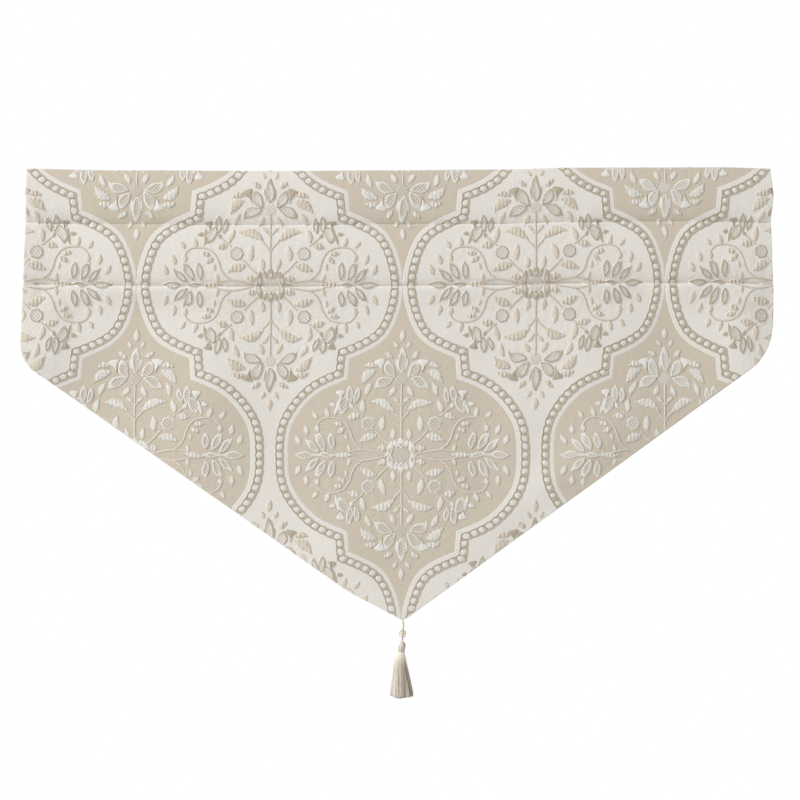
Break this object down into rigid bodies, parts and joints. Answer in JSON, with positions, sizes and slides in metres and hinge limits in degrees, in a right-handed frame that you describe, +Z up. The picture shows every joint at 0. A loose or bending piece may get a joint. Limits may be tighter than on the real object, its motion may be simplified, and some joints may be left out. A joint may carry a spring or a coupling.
{
  "type": "ascot valance",
  "caption": "Flat window valance in ogee-lattice jacquard with a heading and rod pocket, ending in a point with a beaded tassel.",
  "frame": {"origin": "middle of the valance's top edge, inside the folded cloth", "axes": "+X to the right along the top edge as seen from the room, +Y towards the window, +Z up; the patterned front faces -Y"},
  "size_m": [1.2769, 0.0424, 0.9001],
  "materials": {
    "jacquard": "matt woven jacquard, ivory and beige, with a low raised pattern",
    "twisted_cord": "silky twisted cord",
    "clear_bead": "clear, cut in facets",
    "binding_thread": "silky thread wound close",
    "tassel_thread": "silky thread with a soft sheen"
  },
  "bodies": {
    "root": {"panel_cloth": "jacquard", "tassel_hanger": "twisted_cord", "tassel_bead": "clear_bead", "tassel_binding": "binding_thread", "tassel_threads": "tassel_thread"}
  },
  "joints": []
}
